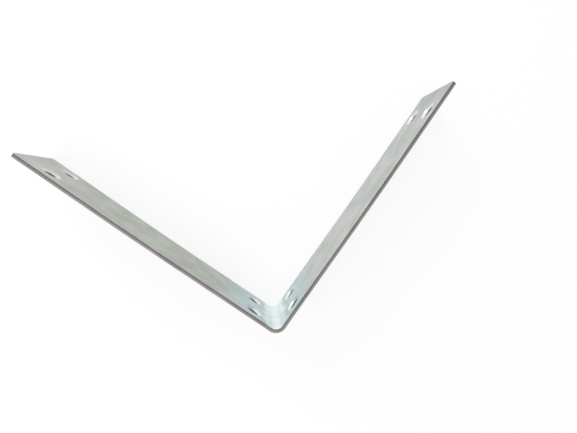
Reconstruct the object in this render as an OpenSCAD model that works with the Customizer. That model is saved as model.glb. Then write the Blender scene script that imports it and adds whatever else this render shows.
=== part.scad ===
// Angle bracket: one strip of zinc-plated sheet steel bent square, with countersunk screw holes.
// It stands on one side edge of the strip. The legs lie along X and Y, and the strip's width is Z.
// The origin is where the two outer faces would meet, on the edge that it stands on.

/* [Strip] */
// Width of the strip, across the bend
strip_width = 40; // [34:1:80]
// Thickness of the sheet
thickness = 2; // [1.6:0.1:4]
// Radius on the inside of the bend
bend_radius = 3.5; // [1:0.5:6]
// Radius that shearing leaves on the edges of the inner faces
edge_radius = 0.45; // [0.2:0.05:0.5]

/* [Legs] */
// Length of each leg, from the outer face of the other one
leg_length = 150; // [80:5:300]
// Radius on the two corners at the end of each leg
corner_radius = 2; // [1:0.5:6]

/* [Screw holes] */
// Diameter of the hole through the sheet
hole_d = 6.5; // [4:0.1:8]
// Depth of the countersink, from the inner face
countersink_depth = 1.35; // [0.5:0.05:1.5]
// Full angle of the countersink
countersink_angle = 90; // [80:1:100]
// Distance between the two holes of a pair, across the strip
pair_spacing = 21; // [15:0.5:23]
// Distance from the end of a leg to its end pair
end_inset = 16; // [11:0.5:30]
// Distance from the other leg's outer face to the pair by the bend
bend_inset = 16; // [16:0.5:30]

/* [Part] */
// Piece to draw

/* [Hidden] */
// How far a cutter runs past the faces that it cuts
past = 0.5;
// Sides of a round shape in the preview
round_sides = 96;
outer_bend_radius = bend_radius + thickness;
// Growth of the countersink's radius for each millimetre of its depth
countersink_slope = tan(countersink_angle / 2);
countersink_r = hole_d / 2 + countersink_depth * countersink_slope;
// Places of the holes along a leg, and across the strip
hole_places = [bend_inset, leg_length - end_inset];
hole_heights = [(strip_width - pair_spacing) / 2, (strip_width + pair_spacing) / 2];
zinc = [0.75, 0.77, 0.77];

// What rounding takes off a square corner that lies at the origin, with the solid towards +X and +Y
module corner_waste(radius) {
    difference() {
        translate([-past, -past])
            square(radius + past);
        translate([radius, radius])
            circle(r = radius, $fn = round_sides);
    }
}

// Everything inside the sheet's inner faces, with the bend's inner radius
module inside_area() {
    translate([thickness + bend_radius, thickness])
        square([leg_length, leg_length]);
    translate([thickness, thickness + bend_radius])
        square([leg_length, leg_length]);
    translate([thickness + bend_radius, thickness + bend_radius])
        circle(r = bend_radius, $fn = round_sides);
}

// The bent strip seen on edge
module strip_profile() {
    difference() {
        square([leg_length, leg_length]);
        inside_area();
        corner_waste(outer_bend_radius);
    }
}

// Draws a cut at the upper side edge, and again at the lower one
module at_both_edges() {
    children();
    translate([0, 0, strip_width])
        mirror([0, 0, 1])
            children();
}

// One screw hole through the leg along X, sunk from the inner face
module screw_hole() {
    translate([0, -past, 0])
        rotate([-90, 0, 0])
            cylinder(h = thickness + 2 * past, d = hole_d, $fn = round_sides);
    translate([0, thickness - countersink_depth, 0])
        rotate([-90, 0, 0])
            cylinder(
                h = countersink_depth + past,
                r1 = hole_d / 2,
                r2 = countersink_r + past * countersink_slope,
                $fn = round_sides
            );
}

// What the radius takes off the upper corner at the end of the leg along X
module end_corner_cut() {
    translate([leg_length, -past, strip_width])
        rotate([-90, 0, 0])
            mirror([1, 0, 0])
                linear_extrude(height = thickness + 2 * past)
                    corner_waste(corner_radius);
}

// Rounding of the upper edge of the leg's inner face, from the bend to the end corner
module side_edge_cut() {
    translate([outer_bend_radius, thickness, strip_width])
        rotate([180, 0, 0])
            rotate([90, 0, 90])
                linear_extrude(height = leg_length - corner_radius - outer_bend_radius)
                    corner_waste(edge_radius);
}

// The same rounding, round the end corner
module corner_edge_cut() {
    translate([leg_length - corner_radius, thickness, strip_width - corner_radius])
        rotate([90, 0, 0])
            rotate_extrude(angle = 90, $fn = round_sides)
                translate([corner_radius, 0])
                    rotate(90)
                        corner_waste(edge_radius);
}

// The same rounding, down the end of the leg
module end_edge_cut() {
    translate([leg_length, thickness, corner_radius])
        mirror([1, 1, 0])
            linear_extrude(height = strip_width - 2 * corner_radius)
                corner_waste(edge_radius);
}

// The same rounding, round the inside of the bend
module bend_edge_cut() {
    translate([outer_bend_radius, outer_bend_radius, strip_width])
        rotate([0, 0, 180])
            rotate_extrude(angle = 90, $fn = round_sides)
                translate([bend_radius, 0])
                    mirror([0, 1])
                        corner_waste(edge_radius);
}

// Holes, end corners and rounded edges of the leg along X
module leg_cuts() {
    for (x = hole_places, z = hole_heights)
        translate([x, 0, z])
            screw_hole();
    at_both_edges() {
        end_corner_cut();
        side_edge_cut();
        corner_edge_cut();
    }
    end_edge_cut();
}

// The whole bracket: the second leg has the first one's cuts, mirrored about the bend
module angle_bracket() {
    color(zinc)
        difference() {
            linear_extrude(height = strip_width)
                strip_profile();
            leg_cuts();
            mirror([1, -1, 0])
                leg_cuts();
            at_both_edges()
                bend_edge_cut();
        }
}

angle_bracket();
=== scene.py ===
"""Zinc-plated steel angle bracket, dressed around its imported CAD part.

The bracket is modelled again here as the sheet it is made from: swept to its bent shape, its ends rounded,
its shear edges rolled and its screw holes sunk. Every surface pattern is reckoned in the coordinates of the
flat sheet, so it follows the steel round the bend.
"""

import logging
import math
from dataclasses import dataclass
from enum import Enum
from typing import Any, Iterable, Optional, Sequence, Union

import bmesh
import bpy
from mathutils import Matrix, Vector

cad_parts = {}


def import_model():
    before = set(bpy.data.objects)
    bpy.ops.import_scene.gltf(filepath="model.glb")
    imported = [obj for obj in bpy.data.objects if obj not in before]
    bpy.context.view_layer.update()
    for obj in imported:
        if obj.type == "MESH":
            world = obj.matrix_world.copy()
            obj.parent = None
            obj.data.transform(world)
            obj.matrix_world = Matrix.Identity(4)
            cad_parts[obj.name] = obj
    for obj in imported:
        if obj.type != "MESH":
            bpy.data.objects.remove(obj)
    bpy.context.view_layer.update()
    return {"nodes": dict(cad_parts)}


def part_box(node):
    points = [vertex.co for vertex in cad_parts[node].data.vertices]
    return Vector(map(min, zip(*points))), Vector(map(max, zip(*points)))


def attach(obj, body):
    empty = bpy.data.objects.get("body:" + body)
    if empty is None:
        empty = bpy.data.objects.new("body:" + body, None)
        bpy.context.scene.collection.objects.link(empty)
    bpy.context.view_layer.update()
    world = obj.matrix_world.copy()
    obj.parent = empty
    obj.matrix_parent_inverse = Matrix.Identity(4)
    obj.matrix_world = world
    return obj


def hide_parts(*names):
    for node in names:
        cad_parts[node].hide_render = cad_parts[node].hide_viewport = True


LOG = logging.getLogger("angle_bracket")
MM = 0.001
Rgb = tuple[float, float, float]
Value = Union["Wire", float]


def linear(code: str) -> Rgb:
    """Turns a colour written as on a colour chart into the linear one that shaders take.

    Args:
        code: Six hexadecimal digits.

    Returns:
        Red, green and blue, each from 0 to 1.
    """
    values = [int(code[i : i + 2], 16) / 255 for i in (0, 2, 4)]
    red, green, blue = (v / 12.92 if v <= 0.04045 else ((v + 0.055) / 1.055) ** 2.4 for v in values)
    return red, green, blue


class Maths(Enum):
    """What a Math node does with its inputs."""

    SUM = "ADD"
    DIFFERENCE = "SUBTRACT"
    PRODUCT = "MULTIPLY"
    SIZE = "ABSOLUTE"
    LARGER = "MAXIMUM"
    SMALLER = "MINIMUM"
    ROOT = "SQRT"
    SINE = "SINE"


class Ray(Enum):
    """The rays that see a background: from the camera, in gloss and through glass."""

    CAMERA = "Is Camera Ray"
    GLOSS = "Is Glossy Ray"
    THROUGH = "Is Transmission Ray"


class Wire:
    """A shader socket that is reckoned with as if it were a number."""

    def __init__(self, bench: "Bench", socket: Any) -> None:
        """Keeps the socket and the bench that it belongs to."""
        self.bench = bench
        self.socket = socket

    def _maths(self, operation: Maths, *others: Value, flip: bool = False) -> "Wire":
        """Adds one Math node.

        Args:
            operation: What the node does.
            others: Further inputs.
            flip: Puts this wire last, for the reflected operators.

        Returns:
            The node's output.
        """
        inputs: list[Any] = [self, *others]
        if flip:
            inputs.reverse()
        return self.bench.node("ShaderNodeMath", {"operation": operation.value}, dict(enumerate(inputs)))

    def __add__(self, other: Value) -> "Wire":
        """Sum."""
        return self._maths(Maths.SUM, other)

    __radd__ = __add__

    def __sub__(self, other: Value) -> "Wire":
        """Difference."""
        return self._maths(Maths.DIFFERENCE, other)

    def __rsub__(self, other: float) -> "Wire":
        """Difference, with the number first."""
        return self._maths(Maths.DIFFERENCE, other, flip=True)

    def __mul__(self, other: Value) -> "Wire":
        """Product."""
        return self._maths(Maths.PRODUCT, other)

    __rmul__ = __mul__

    def __abs__(self) -> "Wire":
        """Size without sign."""
        return self._maths(Maths.SIZE)

    def at_least(self, other: Value) -> "Wire":
        """The larger of two values."""
        return self._maths(Maths.LARGER, other)

    def at_most(self, other: Value) -> "Wire":
        """The smaller of two values."""
        return self._maths(Maths.SMALLER, other)

    def root(self) -> "Wire":
        """Square root."""
        return self._maths(Maths.ROOT)

    def wave(self) -> "Wire":
        """Sine."""
        return self._maths(Maths.SINE)

    def within(self, low: float, high: float) -> "Wire":
        """A mask that runs softly from 0 at one limit to 1 at the other.

        Args:
            low: Value that gives 0.
            high: Value that gives 1. It may be the smaller one.

        Returns:
            The mask.
        """
        settings = {"data_type": "FLOAT", "interpolation_type": "SMOOTHSTEP", "clamp": True}
        values = {"Value": self, "From Min": low, "From Max": high, "To Min": 0.0, "To Max": 1.0}
        if low > high:
            values.update({"From Min": high, "From Max": low, "To Min": 1.0, "To Max": 0.0})
        return self.bench.node("ShaderNodeMapRange", settings, values)


class Bench:
    """Holds one node tree and adds nodes to it."""

    def __init__(self, tree: Any) -> None:
        """Takes a node tree and empties it."""
        self.tree = tree
        self.tree.nodes.clear()

    def node(
        self,
        kind: str,
        settings: Optional[dict[str, Any]] = None,
        values: Optional[dict[Union[str, int], Any]] = None,
        output: Union[str, int] = 0,
    ) -> Wire:
        """Adds a node of any type.

        Args:
            kind: The node's type.
            settings: Its properties, which are set first.
            values: What its sockets hold or are linked to, by name or place.
            output: The socket that is wanted back, by name or place.

        Returns:
            The wanted output.
        """
        made = self.tree.nodes.new(kind)
        for name, value in (settings or {}).items():
            setattr(made, name, value)
        for key, value in (values or {}).items():
            socket = made.inputs[key]
            if isinstance(value, Wire):
                self.tree.links.new(value.socket, socket)
            else:
                socket.default_value = value
        return Wire(self, made.outputs[output] if len(made.outputs) else None)

    def mix(self, factor: Value, first: Union[Wire, Rgb], second: Union[Wire, Rgb]) -> Wire:
        """Mixes two colours.

        Args:
            factor: Share of the second colour.
            first: First colour.
            second: Second colour.

        Returns:
            The mixed colour.
        """
        colours = [c if isinstance(c, Wire) else (*c, 1.0) for c in (first, second)]
        settings = {"data_type": "RGBA", "blend_type": "MIX", "clamp_factor": True}
        return self.node("ShaderNodeMix", settings, {0: factor, 6: colours[0], 7: colours[1]}, output=2)

    def vector(self, x: Value, y: Value, z: Value) -> Wire:
        """Joins three values into a vector."""
        return self.node("ShaderNodeCombineXYZ", None, {0: x, 1: y, 2: z})

    def split(self, vector: Wire) -> list[Wire]:
        """Splits a vector into its three values."""
        made = self.node("ShaderNodeSeparateXYZ", None, {0: vector}).socket.node
        return [Wire(self, output) for output in made.outputs]

    def length(self, x: Wire, y: Wire) -> Wire:
        """Length of a flat vector."""
        return (x * x + y * y).root()

    def noise(self, where: Wire, scale: float, detail: float, rough: float, warp: float = 0.0) -> Wire:
        """Adds a noise texture.

        Args:
            where: Place that it is read at.
            scale: Features for each metre.
            detail: Finer layers.
            rough: Strength of the finer layers.
            warp: Distortion.

        Returns:
            The noise, from 0 to 1 with its middle at about a half.
        """
        values = {"Vector": where, "Scale": scale, "Detail": detail, "Roughness": rough, "Distortion": warp}
        return self.node("ShaderNodeTexNoise", {"noise_dimensions": "3D"}, values)


@dataclass
class AngleBracket:
    """The bracket: a strip of sheet bent once, with sunk screw holes. Sizes are in metres.

    It stands on one long edge, with its legs along X and Y from the corner where their outer faces meet.
    bow and bulge are what the press leaves. neutral_share is how deep, in parts of the thickness from the
    outer face, the steel keeps its width in the bend. cut_spacing lies between the cuts that let a leg bow,
    and hard_edge is the angle from which an edge is shaded sharp.
    """

    leg: float
    width: float
    thickness: float = 2 * MM
    inner_radius: float = 3.5 * MM
    corner_radius: float = 2.0 * MM
    roll_radius: float = 0.45 * MM
    burr_break: float = 0.1 * MM
    hole_radius: float = 3.25 * MM
    hole_inset: float = 16 * MM
    pair_spacing: float = 21 * MM
    sink_depth: float = 1.35 * MM
    rim_round: float = 0.12 * MM
    bow: float = 0.4 * MM
    bulge: float = 0.1 * MM
    neutral_share: float = 0.45
    bend_steps: int = 24
    corner_steps: int = 10
    roll_steps: int = 4
    burr_steps: int = 3
    hole_steps: int = 72
    cut_spacing: float = 6 * MM
    hard_edge: float = math.radians(34)
    name: str = "angle_bracket_sheet"

    @property
    def outer_radius(self) -> float:
        """Radius on the outside of the bend."""
        return self.inner_radius + self.thickness

    @property
    def sink_radius(self) -> float:
        """Radius of a hole's sink where it meets the inner face."""
        return self.hole_radius + self.sink_depth

    @property
    def hole_places(self) -> tuple[float, float]:
        """Distances of the two pairs of holes from the corner where the outer faces meet."""
        return self.hole_inset, self.leg - self.hole_inset

    @property
    def bend_length(self) -> float:
        """Length of the bend along the middle of the sheet."""
        return math.pi / 2 * (self.inner_radius + self.thickness / 2)

    @property
    def reach(self) -> float:
        """Distance along the sheet from the middle of the bend to a leg's end."""
        return self.leg - self.outer_radius + self.bend_length / 2

    def depth(self, place: Vector) -> float:
        """How far a point lies inside the outer face.

        Args:
            place: The point, on the bent sheet.

        Returns:
            The depth, from 0 on the outer face to the thickness on the inner one.
        """
        r = self.outer_radius
        if place.x >= r:
            return place.y
        if place.y >= r:
            return place.x
        return r - math.hypot(place.x - r, place.y - r)

    def along(self, place: Vector) -> float:
        """Distance of a point from the middle of the bend, measured along the sheet.

        Args:
            place: The point, on the bent sheet.

        Returns:
            The distance, above 0 on the leg along X and below 0 on the leg along Y.
        """
        r = self.outer_radius
        half = self.bend_length / 2
        if place.x >= r:
            return place.x - r + half
        if place.y >= r:
            return -(place.y - r + half)
        turn = math.atan2(r - place.y, r - place.x) - math.pi / 4
        return turn / (math.pi / 4) * half

    def build(self) -> bpy.types.Object:
        """Makes the finished sheet.

        Returns:
            The bracket, as one object at the origin.
        """
        bm = self._sweep()
        self._round_ends(bm)
        self._roll_edges(bm)
        piece = place_mesh(bm, self.name)
        cutter = self._hole_cutter()
        bore = piece.modifiers.new("screw holes", "BOOLEAN")
        bore.operation = "DIFFERENCE"
        bore.solver = "EXACT"
        bore.object = cutter
        apply_modifiers(piece)
        bpy.data.objects.remove(cutter)

        bm = bmesh.new()
        bm.from_mesh(piece.data)
        self._cut_across(bm)
        flat = [(self.along(v.co), v.co.z, self.depth(v.co)) for v in bm.verts]
        self._bend_out(bm)
        for face in bm.faces:
            face.smooth = True
        for edge in bm.edges:
            edge.smooth = len(edge.link_faces) == 2 and edge.calc_face_angle() < self.hard_edge
        bm.to_mesh(piece.data)
        bm.free()
        self._mark_sheet(piece.data, flat)
        even = piece.modifiers.new("even shading", "WEIGHTED_NORMAL")
        even.keep_sharp = True
        apply_modifiers(piece)
        return piece

    def dress(self, piece: bpy.types.Object, finish: "ZincSheet") -> None:
        """Gives the sheet its finish, and sets it in the place of the CAD node.

        Args:
            piece: The bracket.
            finish: Its finish.
        """
        piece.data.materials.clear()
        piece.data.materials.append(finish.material())
        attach(piece, "root")
        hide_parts("angle_bracket")

    def _sweep(self) -> bmesh.types.BMesh:
        """Draws the sheet's section at one leg's end and sweeps it to the other end.

        Returns:
            The bent strip, with square edges and no holes.
        """
        bm = bmesh.new()
        bmesh.ops.create_grid(bm, x_segments=1, y_segments=1, size=0.5)
        stand = Matrix(((0, 0, 1, 0), (1, 0, 0, 0), (0, 1, 0, 0), (0, 0, 0, 1)))
        size = Matrix.Diagonal((self.thickness, self.width, 1, 1))
        place = Matrix.Translation((self.leg, self.thickness / 2, self.width / 2))
        bmesh.ops.transform(bm, matrix=place @ stand @ size, verts=bm.verts)
        straight = self.leg - self.outer_radius
        front = self._pull(bm, list(bm.faces), Vector((-straight, 0, 0)))
        turned = bmesh.ops.spin(
            bm,
            geom=front,
            cent=(self.outer_radius, self.outer_radius, 0),
            axis=(0, 0, 1),
            angle=-math.pi / 2,
            steps=self.bend_steps,
        )
        front = [g for g in turned["geom_last"] if isinstance(g, bmesh.types.BMFace)]
        self._pull(bm, front, Vector((0, straight, 0)))
        bmesh.ops.remove_doubles(bm, verts=bm.verts, dist=MM / 1000)
        walls = [f for f in bm.faces if all(len(e.link_faces) > 2 for e in f.edges)]
        bmesh.ops.delete(bm, geom=walls, context="FACES_ONLY")
        bmesh.ops.recalc_face_normals(bm, faces=bm.faces)
        return bm

    @staticmethod
    def _pull(bm: bmesh.types.BMesh, faces: Sequence[Any], step: Vector) -> list[Any]:
        """Extrudes faces.

        Args:
            bm: The mesh.
            faces: Faces to pull out.
            step: Direction and distance.

        Returns:
            The faces at the new end, with their edges and points.
        """
        pulled = bmesh.ops.extrude_face_region(bm, geom=list(faces))["geom"]
        points = [g for g in pulled if isinstance(g, bmesh.types.BMVert)]
        bmesh.ops.translate(bm, verts=points, vec=step)
        return pulled

    def _round_ends(self, bm: bmesh.types.BMesh) -> None:
        """Rounds the corners at the legs' ends.

        Args:
            bm: The bent strip.
        """
        corners = []
        for edge in bm.edges:
            a, b = (v.co for v in edge.verts)
            at_end = all(max(c.x, c.y) > self.leg - MM / 100 for c in (a, b))
            if at_end and abs(a.z - b.z) < MM / 100:
                corners.append(edge)
        self._bevel(bm, corners, self.corner_radius, self.corner_steps)

    def _roll_edges(self, bm: bmesh.types.BMesh) -> None:
        """Rolls the shear edge on the inner face, and breaks the one on the outer face.

        Args:
            bm: The bent strip, with rounded ends.
        """
        rolled = (self.thickness, self.roll_radius, self.roll_steps)
        broken = (0.0, self.burr_break, self.burr_steps)
        for level, radius, steps in (rolled, broken):
            rim = [
                e
                for e in bm.edges
                if len(e.link_faces) == 2
                and e.calc_face_angle() > math.radians(60)
                and all(abs(self.depth(v.co) - level) < MM / 50 for v in e.verts)
            ]
            self._bevel(bm, rim, radius, steps)

    @staticmethod
    def _bevel(bm: bmesh.types.BMesh, edges: Sequence[Any], radius: float, steps: int) -> None:
        """Rounds edges.

        Args:
            bm: The mesh.
            edges: Edges to round.
            radius: The rounding's radius.
            steps: Faces round the rounding.
        """
        bmesh.ops.bevel(
            bm,
            geom=list(edges),
            offset=radius,
            offset_type="OFFSET",
            segments=steps,
            profile=0.5,
            affect="EDGES",
            clamp_overlap=True,
            material=-1,
        )

    def _hole_cutter(self) -> bpy.types.Object:
        """Spins one hole's shape about its axis, and sets it at every hole of both legs.

        Returns:
            The cutters, as one object.
        """
        past, rim, floor = MM / 2, self.rim_round, self.thickness - self.sink_depth
        outline = [
            (0.0, -past),
            (self.hole_radius + rim + past, -past),
            (self.hole_radius + rim * 0.3, rim * 0.3),
            (self.hole_radius, rim),
            (self.hole_radius, floor),
            (self.sink_radius - rim, self.thickness - rim),
            (self.sink_radius + rim * 0.2, self.thickness - rim * 0.25),
            (self.sink_radius + rim + past * 3, self.thickness + past),
            (0.0, self.thickness + past),
        ]
        bm = bmesh.new()
        points = [bm.verts.new((radius, depth, 0)) for radius, depth in outline]
        lines = [bm.edges.new(pair) for pair in zip(points, points[1:])]
        bmesh.ops.spin(
            bm,
            geom=points + lines,
            cent=(0, 0, 0),
            axis=(0, 1, 0),
            angle=math.tau,
            steps=self.hole_steps,
            use_merge=True,
        )
        bmesh.ops.remove_doubles(bm, verts=bm.verts, dist=MM / 1000)
        one = list(bm.verts) + list(bm.edges) + list(bm.faces)
        swap = Matrix(((0, 1, 0, 0), (1, 0, 0, 0), (0, 0, 1, 0), (0, 0, 0, 1)))
        heights = [(self.width + side * self.pair_spacing) / 2 for side in (-1, 1)]
        for reach in self.hole_places:
            for height in heights:
                shift = Matrix.Translation((reach, 0, height))
                for turn in (Matrix.Identity(4), swap):
                    copy = bmesh.ops.duplicate(bm, geom=one)["geom"]
                    verts = [g for g in copy if isinstance(g, bmesh.types.BMVert)]
                    bmesh.ops.transform(bm, matrix=turn @ shift, verts=verts)
        bmesh.ops.delete(bm, geom=[g for g in one if isinstance(g, bmesh.types.BMVert)], context="VERTS")
        bmesh.ops.recalc_face_normals(bm, faces=bm.faces)
        return place_mesh(bm, "hole_cutter")

    def _cut_across(self, bm: bmesh.types.BMesh) -> None:
        """Cuts the legs across, so that they can bow.

        Args:
            bm: The sheet, with its holes.
        """
        steps = int((self.leg - self.outer_radius) / self.cut_spacing)
        for i in range(1, steps):
            reach = self.outer_radius + i * self.cut_spacing
            for axis in ((1, 0, 0), (0, 1, 0)):
                everything = list(bm.verts) + list(bm.edges) + list(bm.faces)
                centre = Vector(axis) * reach
                bmesh.ops.bisect_plane(bm, geom=everything, plane_co=centre, plane_no=axis, dist=MM / 2000)

    def _bend_out(self, bm: bmesh.types.BMesh) -> None:
        """Gives the sheet what the press leaves: bowed legs, and a bulge at the ends of the bend.

        Args:
            bm: The sheet, cut across.
        """
        half = self.bend_length / 2
        for vert in bm.verts:
            s, depth = self.along(vert.co), self.depth(vert.co)
            run = max(abs(s) - half, 0) / (self.reach - half)
            push = -self.bow * math.sin(math.pi * min(run, 1.0)) ** 1.5
            if s > 0:
                vert.co.y += push
            else:
                vert.co.x += push
            near_bend = math.exp(-((s / (0.9 * half)) ** 2))
            side = (vert.co.z - self.width / 2) / (self.width / 2)
            squeeze = (depth / self.thickness - self.neutral_share) * near_bend * abs(side) ** 12
            vert.co.z += math.copysign(self.bulge * squeeze, side)

    @staticmethod
    def _mark_sheet(mesh: bpy.types.Mesh, flat: Sequence[tuple[float, float, float]]) -> None:
        """Stores where each point lies on the flat sheet.

        Args:
            mesh: The finished mesh.
            flat: For each point, its distance along the sheet, its height and its depth.
        """
        layer = mesh.attributes.new("sheet", "FLOAT_VECTOR", "POINT")
        for item, value in zip(layer.data, flat):
            item.vector = value


def place_mesh(bm: bmesh.types.BMesh, name: str) -> bpy.types.Object:
    """Puts a mesh in the scene, as an object at the origin.

    Args:
        bm: The mesh, which is freed.
        name: Name for the object and its mesh.

    Returns:
        The object.
    """
    mesh = bpy.data.meshes.new(name)
    bm.to_mesh(mesh)
    bm.free()
    made = bpy.data.objects.new(name, mesh)
    bpy.context.scene.collection.objects.link(made)
    return made


def apply_modifiers(piece: bpy.types.Object) -> None:
    """Applies a piece's modifiers to its mesh, so that none is left live.

    Args:
        piece: The piece.
    """
    bpy.context.view_layer.update()
    graph = bpy.context.evaluated_depsgraph_get()
    seen = piece.evaluated_get(graph)
    done = bpy.data.meshes.new_from_object(seen, preserve_all_data_layers=True, depsgraph=graph)
    old, name = piece.data, piece.data.name
    piece.data = done
    piece.modifiers.clear()
    bpy.data.meshes.remove(old)
    done.name = name


@dataclass(frozen=True)
class Regions:
    """Where a point lies on the flat sheet, and masks of the regions with a finish of their own.

    s runs along the sheet from the middle of the bend, z up it and depth in from its outer face. rim is the
    distance from the sheet's outline and axis the one from the middle of the nearest screw hole.
    """

    s: Wire
    z: Wire
    depth: Wire
    rim: Wire
    axis: Wire
    inside: Wire
    heelward: Wire
    sheared: Wire
    land: Wire
    bore: Wire
    cone: Wire
    cut: Wire


@dataclass(frozen=True)
class Patterns:
    """Uneven patterns over the sheet, masks of the marks that working the steel leaves, and masks of the
    painted highlight and sheen at and near the bend.
    """

    cloud: Wire
    grain: Wire
    patch: Wire
    fleck: Wire
    tear: Wire
    torn: Wire
    scratch: Wire
    strain: Wire
    near_bend: Wire
    bend_highlight: Wire
    crease: Wire


@dataclass(frozen=True)
class Crease:
    """A fine dark line that the press leaves across the inside of the bend.

    It crosses the middle of the bend at its height, climbs by its slant towards the leg along X, and runs for
    its reach to either side of its middle.
    """

    height: float
    slant: float
    middle: float
    reach: float


@dataclass(frozen=True)
class ZincSheet:
    """Finish of the sheet: satin zinc plating with rolling grain, and plain sheared edges.

    The colours are those of the plain zinc of either leg, the one along Y darkened as painted shade, of what
    tints it, of painted highlight, sheen and reflection, and of the cut steel. Scales are in features for
    each metre.
    """

    bracket: AngleBracket
    plain: Rgb = linear("CACDCA")
    plain_low: Rgb = linear("BFC3C0")
    # green and green_low: the greener tint of the leg along Y, also darker than the plain zinc as painted
    # shade.
    green: Rgb = linear("B9BEB5")
    green_low: Rgb = linear("ADB3AA")
    warm: Rgb = linear("BFBAB6")
    tip: Rgb = linear("CBC6C3")
    # Light, cool colour of the painted sheen on the inner faces near the bend.
    cool: Rgb = linear("C3D7DB")
    dull: Rgb = linear("8F9594")
    bright: Rgb = linear("EEF2F4")
    # Near white of the painted highlight on the inside of the bend.
    bend_highlight_white: Rgb = linear("EEF6F8")
    line: Rgb = linear("7C898B")
    shear: Rgb = linear("8C8486")
    shear_plain: Rgb = linear("868481")
    shear_dark: Rgb = linear("5A5557")
    # Dark of the hole walls: the bore's own darker steel, with painted shade inside the holes.
    bore: Rgb = linear("3D3A3D")
    cloud_scale: float = 75
    patch_scale: float = 160
    grain_scale: float = 4200
    fleck_scale: float = 1500
    tear_scale: float = 3600
    strain_scale: float = 2600
    scratch_scale: float = 1900
    scratch_patch_scale: float = 120
    scratch_slants: tuple[float, float, float] = (0.12, -0.35, 1.1)
    creases: tuple[Crease, Crease] = (
        Crease(height=22 * MM, slant=0.3, middle=2 * MM, reach=7 * MM),
        Crease(height=33 * MM, slant=-0.2, middle=-3 * MM, reach=5 * MM),
    )
    land_width: float = 0.17 * MM
    ring_spacing: float = 0.22 * MM
    bump_strength: float = 0.5
    name: str = "zinc_plated_steel"

    def material(self) -> bpy.types.Material:
        """Makes the material.

        Returns:
            The material, with its pattern in the flat sheet's coordinates.
        """
        made = bpy.data.materials.new(self.name)
        made.use_nodes = True
        b = Bench(made.node_tree)
        settings = {"attribute_name": "sheet", "attribute_type": "GEOMETRY"}
        sheet = b.node("ShaderNodeAttribute", settings, None, "Vector")
        at = self._regions(b, sheet)
        seen = self._patterns(b, sheet, at)

        colour = self._face_colour(b, at, seen)
        colour = b.mix(at.sheared, colour, self._edge_colour(b, at, seen))
        # Hole walls darkened: partly the bore's own tone, partly painted shade, which reaches the lowest part
        # of each sink.
        colour = b.mix(at.bore * (1 - at.sheared), colour, self.bore)
        relief = {"Strength": self.bump_strength, "Distance": MM, "Height": self._height(at, seen)}
        values = {
            "Base Color": colour,
            "Roughness": self._roughness(at, seen),
            "Metallic": self._metal(at, seen),
            "Normal": b.node("ShaderNodeBump", None, relief),
        }
        shader = b.node("ShaderNodeBsdfPrincipled", None, values)
        b.node("ShaderNodeOutputMaterial", None, {"Surface": shader})
        return made

    def _regions(self, b: Bench, sheet: Wire) -> Regions:
        """Finds where a point lies, and in which of the sheet's regions.

        Args:
            b: Bench to work on.
            sheet: Place on the flat sheet.

        Returns:
            The place and the masks of the regions.
        """
        part = self.bracket
        s, z, depth = b.split(sheet)
        rim = self._rim_distance(b, s, z)
        axis = self._hole_distance(b, s, z)
        edge = rim.within(0.4 * MM, 0.12 * MM)
        low = part.thickness - self.land_width
        sheared = edge * depth.within(low + 0.06 * MM, low - 0.06 * MM)
        sink = part.thickness - part.sink_depth
        # The bore's mask reaches up into the lowest part of each sink, as painted shade there.
        bore = axis.within(part.hole_radius + 0.45 * MM, part.hole_radius + 0.15 * MM)
        bore = bore * depth.within(sink + 0.3 * MM, sink + 0.1 * MM) * depth.within(0.03 * MM, 0.12 * MM)
        cone = axis.within(part.sink_radius + 0.1 * MM, part.sink_radius - 0.1 * MM)
        return Regions(
            s=s,
            z=z,
            depth=depth,
            rim=rim,
            axis=axis,
            inside=depth.within(0.4 * part.thickness, 0.6 * part.thickness),
            heelward=self._heelward(s),
            sheared=sheared,
            # land: the rolled edge by the inner face, which carries a painted highlight as well as its
            # burnish.
            land=edge * (1 - sheared),
            bore=bore,
            cone=cone * depth.within(sink - 0.1 * MM, sink + 0.05 * MM),
            cut=sheared.at_least(bore),
        )

    def _patterns(self, b: Bench, sheet: Wire, at: Regions) -> Patterns:
        """Makes the uneven patterns, at their true scale.

        Args:
            b: Bench to work on.
            sheet: Place on the flat sheet.
            at: Where the point lies.

        Returns:
            The patterns and the masks of the marks.
        """
        s, z, depth = at.s, at.z, at.depth
        half = self.bracket.bend_length / 2
        patch = b.noise(b.vector(s * 0.5, z * 1.4, depth + 0.05), self.patch_scale, 4, 0.6, 0.6)
        tear = b.noise(b.vector(s, z, depth * 0.12), self.tear_scale, 3, 0.65)
        dark_half = depth.within(0.38 * self.bracket.thickness, 0.52 * self.bracket.thickness)
        strain = b.noise(b.vector(s, z * 0.07, depth + 0.2), self.strain_scale, 3, 0.6)
        stretched = (1 - at.inside) * abs(s).within(half + 1.2 * MM, half - 1 * MM)
        # Painted sheen: the inner faces grow lighter and cooler towards the bend.
        near_bend = (abs(s) + (patch - 0.5) * 20 * MM).within(42 * MM, 12 * MM)
        # Painted highlight over the inside of the bend and a few millimetres past it.
        bend_highlight = (abs(s) + (patch - 0.5) * 9 * MM).within(half + 6 * MM, half + 1 * MM)
        return Patterns(
            cloud=b.noise(sheet, self.cloud_scale, 3, 0.55, 0.4),
            grain=b.noise(b.vector(s * 0.035, z, depth), self.grain_scale, 3, 0.6),
            patch=patch,
            fleck=b.noise(sheet, self.fleck_scale, 2, 0.6),
            tear=tear,
            torn=dark_half * tear.within(0.2, 0.5),
            scratch=self._scratches(b, at),
            strain=strain.within(0.42, 0.72) * stretched,
            near_bend=near_bend * at.inside,
            bend_highlight=bend_highlight * at.inside,
            crease=self._crease_lines(s, z, patch) * at.inside,
        )

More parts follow.
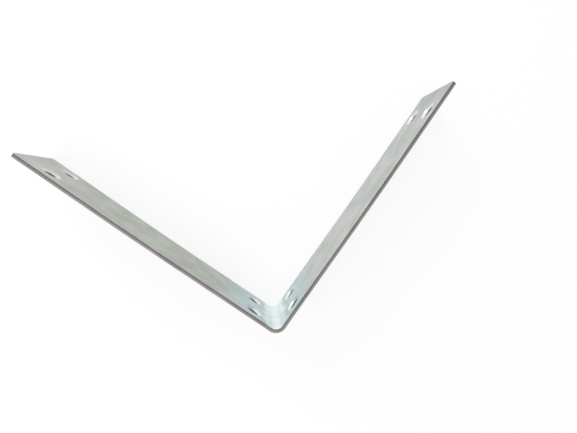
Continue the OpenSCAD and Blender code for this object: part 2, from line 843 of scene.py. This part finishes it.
    def _face_colour(self, b: Bench, at: Regions, seen: Patterns) -> Wire:
        """Colour of the zinc, with painted shade, highlight, sheen and reflection.

        Args:
            b: Bench to work on.
            at: Where the point lies.
            seen: The patterns.

        Returns:
            The colour, over the whole sheet.
        """
        s, reach = at.s, self.bracket.reach
        even = seen.cloud.within(0.34, 0.66) * (0.75 + 0.25 * at.inside)
        # The leg along Y is painted darker than the leg along X, as painted shade, besides its greener tint.
        shaded_leg_y = b.mix(even, self.green, self.green_low)
        leg_x = b.mix(even, self.plain, self.plain_low)
        colour = b.mix(s.within(-45 * MM, 45 * MM), shaded_leg_y, leg_x)
        colour = b.mix(seen.patch.within(0.5, 0.72) * 0.4, colour, self.warm)
        tip = (s + (seen.patch - 0.5) * 16 * MM).within(-reach + 34 * MM, -reach + 2 * MM)
        colour = b.mix(tip * at.inside * 0.8, colour, self.tip)
        # Painted sheen on the inner faces near the bend.
        colour = b.mix(seen.near_bend * 0.8, colour, self.cool)
        to_end = reach - abs(s)
        # Darker towards each leg's end, with a faint darker line just inside the end's edge.
        darker_near_ends = to_end.within(13 * MM, 3 * MM) * 0.3 + to_end.within(1.5 * MM, 0.6 * MM) * 0.1
        colour = b.mix(darker_near_ends, colour, self.dull)
        colour = b.mix(seen.fleck.within(0.45, 0.75) * 0.3, colour, self.dull)
        colour = b.mix(seen.grain.within(0.42, 0.8) * 0.25, colour, self.dull)
        colour = b.mix(seen.strain * 0.35, colour, self.dull)
        colour = b.mix(seen.scratch * 0.5, colour, self.bright)
        # Painted highlight: the inside of the bend near white.
        colour = b.mix(seen.bend_highlight * 0.85, colour, self.bend_highlight_white)
        colour = b.mix(seen.crease * 0.8, colour, self.line)
        # Painted reflection on the sinks, brightest on their side towards the bend and on the leg along X.
        sink_glint = 0.35 + 0.25 * at.heelward + 0.2 * s.within(-40 * MM, 40 * MM)
        colour = b.mix(at.cone * sink_glint, colour, self.bright)
        # Lighter flecks of wear near the rim, and a painted highlight on the rolled edge by the inner face,
        # partly its burnish.
        wear = at.rim.within(1.0 * MM, 0.2 * MM) * seen.patch.within(0.35, 0.6)
        return b.mix((wear * 0.25).at_least(at.land * 0.2), colour, self.bright)

    def _edge_colour(self, b: Bench, at: Regions, seen: Patterns) -> Wire:
        """Colour of the sheared edges: torn and dark in the half by the inner face, smooth in the other.

        Args:
            b: Bench to work on.
            at: Where the point lies.
            seen: The patterns.

        Returns:
            The colour.
        """
        smooth = b.mix(at.s.within(-20 * MM, 20 * MM), self.shear, self.shear_plain)
        return b.mix(seen.torn * 0.6, smooth, self.shear_dark)

    def _roughness(self, at: Regions, seen: Patterns) -> Wire:
        """Roughness: satin zinc, smoother on the cut sinks and under the painted highlight at the bend, and
        coarse on bare steel.

        Args:
            at: Where the point lies.
            seen: The patterns.

        Returns:
            The roughness.
        """
        zinc = 0.36 + 0.12 * seen.cloud.within(0.3, 0.7) + 0.1 * seen.grain.within(0.35, 0.75)
        zinc = zinc - 0.08 * seen.scratch - 0.12 * at.cone.at_least(seen.bend_highlight)
        return zinc + at.cut * (0.16 + 0.12 * seen.torn) + 0.1 * at.land

    def _metal(self, at: Regions, seen: Patterns) -> Wire:
        """How metallic the surface is: less on bare steel and in the holes, and less under the painted
        highlight, sheen and reflection at the bend and in the sinks.

        Args:
            at: Where the point lies.
            seen: The patterns.

        Returns:
            The share of metal, up to 1.
        """
        bare = at.cut * (0.12 + 0.2 * seen.torn) + 0.3 * at.bore
        # pale: the painted highlight at the bend, the painted sheen near it and the painted reflection on the
        # sinks' side towards the bend.
        pale = 0.3 * seen.bend_highlight + 0.2 * seen.near_bend + 0.5 * at.cone * at.heelward
        return 1.0 - bare - pale

    def _height(self, at: Regions, seen: Patterns) -> Wire:
        """Height of the surface's relief.

        Args:
            at: Where the point lies.
            seen: The patterns.

        Returns:
            The height, in millimetres.
        """
        zinc = (seen.grain - 0.5) * 0.004 + (seen.patch - 0.5) * 0.012 + (seen.fleck - 0.5) * 0.0025
        zinc = (zinc - seen.strain * 0.01) * (1 - at.cut)
        rings = (at.axis * (math.tau / self.ring_spacing)).wave() * 0.002
        marks = rings * at.cone - seen.scratch * 0.004 - seen.crease * 0.008
        return zinc + marks + at.cut * (seen.tear - 0.5) * 0.03

    def _crease_lines(self, s: Wire, z: Wire, patch: Wire) -> Wire:
        """Fine lines that the press leaves: one down either side of the bend, and a few across it.

        Args:
            s: Distance along the sheet.
            z: Height.
            patch: Uneven noise that makes the lines across waver.

        Returns:
            A mask of the lines.
        """
        half = self.bracket.bend_length / 2
        lines = abs(abs(s) - (half + 0.35 * MM)).within(0.2 * MM, 0.08 * MM) * 0.45
        for crease in self.creases:
            off = abs(z - s * crease.slant - crease.height - (patch - 0.5) * 2 * MM)
            run = abs(s - crease.middle).within(crease.reach, crease.reach - 4 * MM)
            lines = lines.at_least(off.within(0.34 * MM, 0.12 * MM) * 0.8 * run)
        return lines

    def _rim_distance(self, b: Bench, s: Wire, z: Wire) -> Wire:
        """Distance from the sheet's cut outline, with its rounded corners.

        Args:
            b: Bench to work on.
            s: Distance along the sheet.
            z: Height.

        Returns:
            The distance, above 0 inside the outline.
        """
        part = self.bracket
        x = abs(s) - (part.reach - part.corner_radius)
        y = abs(z - part.width / 2) - (part.width / 2 - part.corner_radius)
        outside = b.length(x.at_least(0.0), y.at_least(0.0))
        inside = x.at_least(y).at_most(0.0)
        return part.corner_radius - outside - inside

    def _hole_distance(self, b: Bench, s: Wire, z: Wire) -> Wire:
        """Distance from the axis of the nearest screw hole.

        Args:
            b: Bench to work on.
            s: Distance along the sheet.
            z: Height.

        Returns:
            The distance.
        """
        part = self.bracket
        up = abs(z - part.width / 2) - part.pair_spacing / 2
        shift = part.reach - part.leg
        near, far = (b.length(abs(s) - (place + shift), up) for place in part.hole_places)
        return near.at_most(far)

    def _heelward(self, s: Wire) -> Wire:
        """Finds the side of each screw hole that lies towards the bend, where its sink gets the strongest
        painted reflection.

        Args:
            s: Distance along the sheet.

        Returns:
            A mask of that side.
        """
        part = self.bracket
        first, second = (place + part.reach - part.leg for place in part.hole_places)
        centre = first + (second - first) * abs(s).within(part.reach / 2 - MM, part.reach / 2 + MM)
        return (centre - abs(s)).within(-0.5 * MM, 2.5 * MM)

    def _scratches(self, b: Bench, at: Regions) -> Wire:
        """Fine scratches at a few slants.

        Args:
            b: Bench to work on.
            at: Where the point lies.

        Returns:
            A mask of the scratches.
        """
        seeds = (0.0, 0.3, 0.7)
        total: Optional[Wire] = None
        for slant, seed in zip(self.scratch_slants, seeds):
            c, n = math.cos(slant), math.sin(slant)
            run = at.s * c + at.z * n
            across = at.z * c - at.s * n
            lines = b.noise(b.vector(run * 0.06, across, at.depth + seed), self.scratch_scale, 1, 0.5, 0.3)
            where = b.noise(b.vector(run, across, at.depth + seed + 0.1), self.scratch_patch_scale, 2, 0.5)
            marks = lines.within(0.73, 0.78) * where.within(0.5, 0.62)
            total = marks if total is None else total.at_least(marks)
        return total


@dataclass(frozen=True)
class Lamp:
    """A soft square lamp, placed from the middle of the object. Sizes are in metres and power in watts."""

    name: str
    offset: tuple[float, float, float]
    size: float
    power: float

    def hang(self, target: Vector) -> None:
        """Adds the lamp to the scene.

        Args:
            target: Middle of the object, which it points at.
        """
        data = bpy.data.lights.new(self.name, "AREA")
        data.shape = "SQUARE"
        data.size = self.size
        data.energy = self.power
        made = bpy.data.objects.new(self.name, data)
        made.location = target + Vector(self.offset)
        made.rotation_euler = (-Vector(self.offset)).to_track_quat("-Z", "Y").to_euler()
        bpy.context.scene.collection.objects.link(made)


@dataclass(frozen=True)
class Studio:
    """Pale floor, even world light and soft lamps.

    floor_glow is the share of white that the floor shows as a background, and sky_light is the strength of
    the world's light.
    """

    floor_size: float = 6.0
    floor_drop: float = 0.1 * MM
    floor_colour: Rgb = linear("F2F2F1")
    floor_glow: float = 0.76
    sky_light: float = 0.75
    overhead: Lamp = Lamp("soft_overhead", (-0.25, 0.1, 0.9), 0.7, 3.2)
    side: Lamp = Lamp("soft_side", (0.25, 0.75, 0.45), 0.5, 2.6)

    def build(self, target: Vector) -> None:
        """Builds the studio.

        Args:
            target: Middle of the object.
        """
        self._floor()
        self._world()
        self.overhead.hang(target)
        self.side.hang(target)
        bpy.context.scene.view_settings.view_transform = "Standard"

    def _floor(self) -> None:
        """Makes the floor, which keeps the object's shadow."""
        bm = bmesh.new()
        bmesh.ops.create_grid(bm, x_segments=1, y_segments=1, size=self.floor_size / 2)
        bmesh.ops.translate(bm, verts=bm.verts, vec=(0, 0, -self.floor_drop))
        made = place_mesh(bm, "floor")
        material = bpy.data.materials.new("pale_floor")
        material.use_nodes = True
        b = Bench(material.node_tree)
        plain = b.node("ShaderNodeBsdfDiffuse", None, {"Color": (*self.floor_colour, 1.0)})
        white = b.node("ShaderNodeEmission", None, {"Color": (1, 1, 1, 1), "Strength": 1.0})
        mixed = b.node("ShaderNodeMixShader", None, {0: self._seen(b) * self.floor_glow, 1: plain, 2: white})
        b.node("ShaderNodeOutputMaterial", None, {"Surface": mixed})
        made.data.materials.append(material)

    def _world(self) -> None:
        """Sets the world's light, and the white that the camera sees."""
        world = bpy.data.worlds.new("studio_world")
        bpy.context.scene.world = world
        world.use_nodes = True
        b = Bench(world.node_tree)
        strength = self.sky_light + self._seen(b) * (1 - self.sky_light)
        sky = b.node("ShaderNodeBackground", None, {"Color": (1, 1, 1, 1), "Strength": strength})
        b.node("ShaderNodeOutputWorld", None, {"Surface": sky})

    @staticmethod
    def _seen(b: Bench) -> Wire:
        """Finds the rays that see a background.

        Args:
            b: Bench to work on.

        Returns:
            A mask of those rays.
        """
        camera, gloss, through = (b.node("ShaderNodeLightPath", None, None, ray.value) for ray in Ray)
        return camera.at_least(gloss).at_least(through)


@dataclass(frozen=True)
class Viewpoint:
    """Camera at the photograph's place, found from the bracket's own outline.

    It looks almost straight down from place to target, turned by roll, in degrees. The shift is in parts of
    the picture's width.
    """

    place: tuple[float, float, float] = (51.642 * MM, 49.841 * MM, 244.674 * MM)
    target: tuple[float, float, float] = (54.04 * MM, 33.736 * MM, 20 * MM)
    roll: float = 116.604
    lens: float = 26.9731
    shift: tuple[float, float] = (5 / 577, -13 / 577)

    def build(self) -> None:
        """Makes the camera and hands it to the scene."""
        data = bpy.data.cameras.new("photo_camera")
        data.lens = self.lens
        data.sensor_width = 36.0
        data.shift_x, data.shift_y = self.shift
        data.clip_start = 0.01
        data.clip_end = 20.0
        made = bpy.data.objects.new("photo_camera", data)
        aim = (Vector(self.target) - Vector(self.place)).to_track_quat("-Z", "Y").to_matrix().to_4x4()
        turn = Matrix.Rotation(math.radians(self.roll), 4, "Z")
        made.matrix_world = Matrix.Translation(self.place) @ aim @ turn
        bpy.context.scene.collection.objects.link(made)
        bpy.context.scene.camera = made


def main() -> None:
    """Builds the scene."""
    logging.basicConfig(level=logging.INFO, format="%(name)s: %(message)s")
    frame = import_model()
    LOG.info("CAD nodes: %s", ", ".join(frame["nodes"]))
    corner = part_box("angle_bracket")[1]

    Viewpoint().build()
    bracket = AngleBracket(leg=corner.x, width=corner.z)
    piece = bracket.build()
    bracket.dress(piece, ZincSheet(bracket))
    LOG.info("%s: %d points, %d faces", piece.name, len(piece.data.vertices), len(piece.data.polygons))

    Studio().build(Vector((corner.x / 3, corner.y / 3, corner.z / 2)))


if __name__ == "__main__":
    main()
